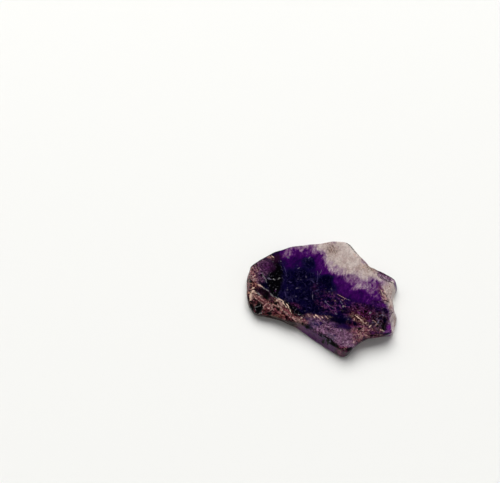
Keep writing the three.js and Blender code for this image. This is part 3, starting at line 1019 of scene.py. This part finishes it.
# The banded crystal: its depth field, feathered where the purple thins out, run through its tones
def drawCrystal(tree, point, wavy, plan, tear):
    depth = crystal["start"]
    for *place, there in depths:
        change = calc(tree, "SUBTRACT", there, depth)
        depth = calc(tree, "MULTIPLY_ADD", change, zoneShare(tree, plan, tear, "depth", *place), depth)
    rising = cloud(tree, combed(tree, wavy, **combs["rising"]), **noises["rising"])
    leaning = cloud(tree, combed(tree, wavy, **combs["leaning"]), **noises["leaning"])
    soft = cloud(tree, point, **noises["soft"])
    feather = calc(tree, "ADD", rising, calc(tree, "SUBTRACT", leaning, 1.0))
    off = calc(tree, "ABSOLUTE", calc(tree, "SUBTRACT", depth, crystal["thinnest"]))
    thin = ramp(tree, off, *crystal["thinSpan"])
    stir = calc(tree, "MULTIPLY_ADD", thin, crystal["feathered"], crystal["leastFeathered"])
    depth = calc(tree, "MULTIPLY_ADD", feather, stir, depth)
    depth = calc(tree, "MULTIPLY_ADD", fromMiddle(tree, soft), crystal["softened"], depth)
    return depth, graded(tree, depth, crystal["steps"])


# Dust, a net of healed cracks and dots in the dark crystal, and wisps in the clear quartz
def drawInclusions(tree, point, depth, clearness, colour):
    dark = ramp(tree, depth, *crystal["dark"])
    look = inclusions["dust"]
    dusty = cloud(tree, ragged(tree, point, **bends["dust"]), **noises["dust"])
    dusty = ramp(tree, dusty, *look["shown"])
    colour = laidOver(tree, colour, "dust", dusty, dark, look["cover"])
    look = inclusions["net"]
    seam, lucky = packed(tree, ragged(tree, point, **bends["net"]), **look["laid"])
    line, shown = ramp(tree, seam, *look["line"]), ramp(tree, lucky, *look["shown"])
    colour = laidOver(tree, colour, "dust", line, shown, dark, look["cover"])
    look = inclusions["dots"]
    dots = specks(tree, ragged(tree, point, **bends["dots"]), **look["laid"])
    colour = laidOver(tree, colour, "haze", dots, dark, look["cover"])
    look = inclusions["wisps"]
    wisps = strands(tree, combed(tree, point, **combs["wisps"]), **look["laid"])
    return laidOver(tree, colour, "snow", wisps, clearness, look["cover"])


# How much of each place a paint covers
def paintCover(tree, wavy, plan, tear, onWall, name):
    cover = 0.0
    if name == "breccia":
        cover = beyond(tree, wavy, breccia["through"], breccia["normal"], breccia["width"])
        fades = beyond(tree, wavy, breccia["ends"], breccia["endNormal"], breccia["endWidth"])
        cover = times(tree, cover, fades)
    for *place, most in zones.get(name, []):
        share = times(tree, zoneShare(tree, plan, tear, "paint", *place), most)
        cover = calc(tree, "MAXIMUM", share, cover)
    if name in wallZones:
        *place, most = wallZones[name]
        share = times(tree, zoneShare(tree, plan, tear, "wall", *place), onWall, most)
        cover = calc(tree, "MAXIMUM", share, cover)
    return cover


def drawMarks(tree, plan, crumble, lines):
    nearest = farOff
    for x1, y1, x2, y2, half in lines:
        long = math.hypot(x2 - x1, y2 - y1) / 2 + half
        turn = math.degrees(math.atan2(y2 - y1, x2 - x1))
        out = outness(tree, plan, (x1 + x2) / 2, (y1 + y2) / 2, long, half, turn)
        nearest = calc(tree, "MINIMUM", out, nearest)
    return ramp(tree, calc(tree, "ADD", nearest, crumble), markLook["outer"], markLook["inner"])


# Sets the polish, the scatter below the surface and the fine grain
def finishSurface(tree, surface, point, colour, look, hollow, wall):
    split = tree.nodes.new("ShaderNodeSeparateColor")
    tree.links.new(look, split.inputs[0])
    clearness, roughness, grain = split.outputs
    glitter = cloud(tree, point, **noises["glitter"])
    swing = fromMiddle(tree, glitter)
    gain = calc(tree, "MULTIPLY_ADD", swing, times(tree, grain, finish["glitter"]), 1.0)
    colour = scaled(tree, colour, calc(tree, "MAXIMUM", gain, finish["dimmest"]))
    smear = cloud(tree, point, **noises["smear"])
    roughness = calc(tree, "MULTIPLY_ADD", fromMiddle(tree, smear), finish["smear"], roughness)
    roughness = calc(tree, "MULTIPLY_ADD", hollow, finish["hollowRoughness"], roughness)
    roughness = calc(tree, "MAXIMUM", roughness, times(tree, wall, finish["wallRoughness"]))
    scatter = times(tree, clearness, finish["scatterShare"])
    fine = cloud(tree, point, **noises["fine"])
    grainy, broken = times(tree, grain, finish["grainBump"]), times(tree, wall, finish["wallBump"])
    strength = calc(tree, "MAXIMUM", grainy, broken)
    grooves = {"Strength": strength, "Distance": finish["bumpHeight"], "Height": fine}
    surface.subsurface_method = "RANDOM_WALK"
    given = {
        "Base Color": colour,
        "Roughness": roughness,
        "IOR": finish["ior"],
        "Specular IOR Level": finish["specular"],
        "Subsurface Weight": scatter,
        "Subsurface Radius": finish["scatterTint"],
        "Subsurface Scale": finish["scatter"],
        "Normal": addNode(tree, "ShaderNodeBump", grooves),
    }
    for key, value in given.items():
        give(tree, surface.inputs[key], value)


def makeStoneMaterial():
    material = bpy.data.materials.new("amethyst")
    material.use_nodes = True
    tree = material.node_tree
    raw = addNode(tree, "ShaderNodeTexCoord", out="Object")
    point = scaled(tree, raw, 1 / mm)
    wavy = ragged(tree, point, **bends["wave"])
    wavy = ragged(tree, wavy, **bends["curl"])
    fan = cloud(tree, combed(tree, point, **combs["fan"]), **noises["fan"])
    blots = cloud(tree, point, **noises["blots"])
    tear = calc(tree, "MULTIPLY_ADD", fan, tearing["gain"], times(tree, blots, tearing["gain"]))
    tear = calc(tree, "SUBTRACT", tear, tearing["shift"])

    plan = inPlan(tree, wavy)
    depth, colour = drawCrystal(tree, point, wavy, plan, tear)
    clearness = ramp(tree, depth, *crystal["clear"])
    polish = {0: clearness, 1: finish["crystalRoughness"], 2: finish["crystalGrain"]}
    look = addNode(tree, "ShaderNodeCombineColor", polish)
    colour = drawInclusions(tree, point, depth, clearness, colour)

    level = levelness(tree, addNode(tree, "ShaderNodeNewGeometry", out="Normal"))
    wall = ramp(tree, level, *wallSight["rough"])
    onWall = ramp(tree, level, *wallSight["painted"])
    onFace = calc(tree, "MULTIPLY_ADD", onWall, -markLook["lostOnWall"], markLook["onFace"])
    for name, facts in paints.items():
        cover = paintCover(tree, wavy, plan, tear, onWall, name)
        # Moved by next to nothing, so that the renderer draws one paint at a time and has room for them all
        inTurn = vectorBlend(tree, colour, (1e-6, 1e-6, 1e-6), point)
        colour = mixed(tree, cover, colour, drawPaint(tree, inTurn, facts))
        look = mixed(tree, cover, look, (*facts["finish"], 1))
    for name, *place, most in lenses:
        colour = laidOver(tree, colour, name, zoneShare(tree, plan, tear, "lens", *place), most)

    # Painted shade in the hollows: each is darkened towards the soot tone as far as its share
    hollow = addNode(tree, "ShaderNodeAttribute", out="Fac", attribute_name="hollow")
    shade = calc(tree, "MULTIPLY", hollow, hollowShade, clamp=True)
    colour = laidOver(tree, colour, "soot", shade)

    wobbly = inPlan(tree, ragged(tree, point, **bends["marks"]))
    crumble = times(tree, fromMiddle(tree, cloud(tree, point, **noises["crumble"])), markLook["crumble"])
    for name, lines in marks.items():
        colour = laidOver(tree, colour, name, drawMarks(tree, wobbly, crumble, lines), onFace)
    finishSurface(tree, tree.nodes["Principled BSDF"], point, colour, look, hollow, wall)
    return material


slab = refineStone()
print("stone refined:", len(slab.data.polygons), "faces")
stoneMaterial = makeStoneMaterial()
print("stone material made:", len(stoneMaterial.node_tree.nodes), "nodes")
roughenStone(slab, stoneMaterial)
print("relief cut:", len(slab.data.polygons), "faces")

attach(slab, "root")
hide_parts("amethyst_slab")
